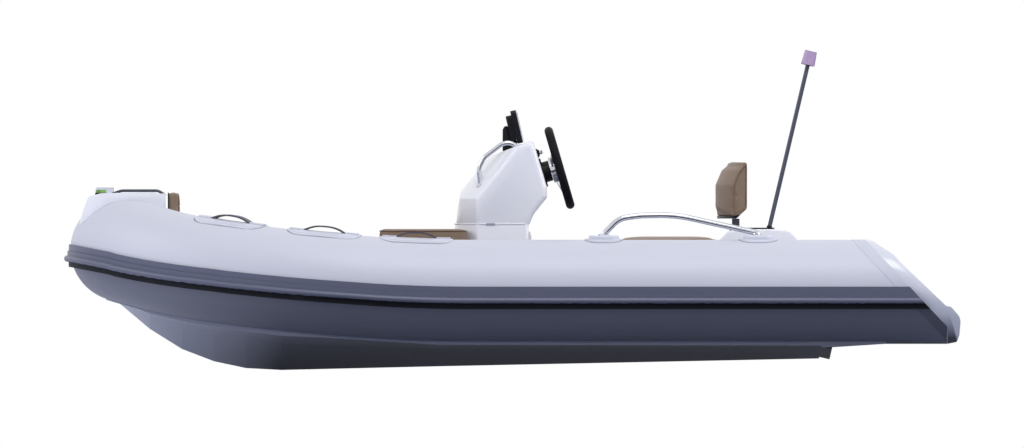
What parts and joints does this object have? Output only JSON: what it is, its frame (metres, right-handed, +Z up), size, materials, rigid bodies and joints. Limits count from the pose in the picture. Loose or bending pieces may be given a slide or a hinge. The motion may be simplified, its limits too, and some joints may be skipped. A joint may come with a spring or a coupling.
{
  "type": "rigid inflatable boat",
  "caption": "Small inflatable boat with a rigid V hull, a fabric collar, a helm console with a wheel, padded seats, lifting handles and a light pole.",
  "frame": {"origin": "at the waterline on the centreline, amidships", "axes": "+X aft, +Y to starboard, +Z up"},
  "size_m": [3.8067, 1.816, 1.3604],
  "materials": {
    "gelcoat_grey": "gloss gelcoat",
    "deck_white": "satin gelcoat",
    "gelcoat_white": "gloss gelcoat",
    "pad_black": "matte",
    "tube_fabric": "coated fabric, satin",
    "strake_rubber": "satin rubber",
    "cushion_tan": "soft vinyl",
    "fitting_black": "satin",
    "fitting_white": "satin",
    "lens_green": "clear",
    "lens_red": "clear",
    "stainless": "polished",
    "grip_black": "soft grip",
    "post_grey": "satin",
    "pole_grey": "satin",
    "lens_frosted": "frosted",
    "patch_fabric": "coated fabric",
    "webbing_grey": "woven"
  },
  "bodies": {
    "boat": {"hull": "gelcoat_grey", "flange_tails": "gelcoat_grey", "deck": "deck_white", "transom": "gelcoat_white", "motor_pads": "pad_black", "tube_port": "tube_fabric", "tube_starboard": "tube_fabric", "rubbing_strake": "strake_rubber", "end_caps": "gelcoat_white", "bow_step": "gelcoat_white", "bow_backrest": "cushion_tan", "bow_locker": "gelcoat_white", "nav_base": "fitting_black", "nav_body": "fitting_white", "nav_lens_port": "lens_green", "nav_lens_starboard": "lens_red", "bow_rails": "stainless", "console_base": "gelcoat_white", "console_upper": "gelcoat_white", "console_rails": "stainless", "dash_panel": "fitting_black", "plotter": "fitting_black", "plotter_stand": "fitting_black", "helm": "fitting_black", "front_seat_box": "gelcoat_white", "helm_seat_box": "gelcoat_white", "aft_moulding": "gelcoat_white", "backrest": "cushion_tan", "backrest_posts": "post_grey", "pole_base": "fitting_black", "light_pole": "pole_grey", "pole_lamp": "lens_frosted", "stern_cleats": "fitting_black", "patches": "patch_fabric", "handles": "webbing_grey", "rail_bases": "fitting_white", "side_rails": "stainless"},
    "steering_wheel": {"wheel_rim": "grip_black", "wheel_spokes": "stainless", "wheel_cap": "fitting_black"},
    "bow_seat": {"bow_lid": "gelcoat_white", "bow_cushion": "cushion_tan"},
    "front_seat": {"front_lid": "gelcoat_white", "front_cushion": "cushion_tan"},
    "helm_seat": {"helm_lid": "gelcoat_white", "helm_cushion": "cushion_tan"}
  },
  "joints": [
    {"name": "wheel_turn", "type": "hinge", "parent": "boat", "child": "steering_wheel", "pos_m": [0.1996, 0, 0.7184], "axis": [0.9598, 0, 0.2807], "range_deg": [-540, 540]},
    {"name": "bow_seat_hinge", "type": "hinge", "parent": "boat", "child": "bow_seat", "pos_m": [-1.01, 0, 0.374], "axis": [0, 1, 0], "range_deg": [0, 85]},
    {"name": "front_seat_hinge", "type": "hinge", "parent": "boat", "child": "front_seat", "pos_m": [-0.574, 0, 0.385], "axis": [0, -1, 0], "range_deg": [0, 90]},
    {"name": "helm_seat_hinge", "type": "hinge", "parent": "boat", "child": "helm_seat", "pos_m": [0.45, 0, 0.359], "axis": [0, -1, 0], "range_deg": [0, 90]}
  ]
}
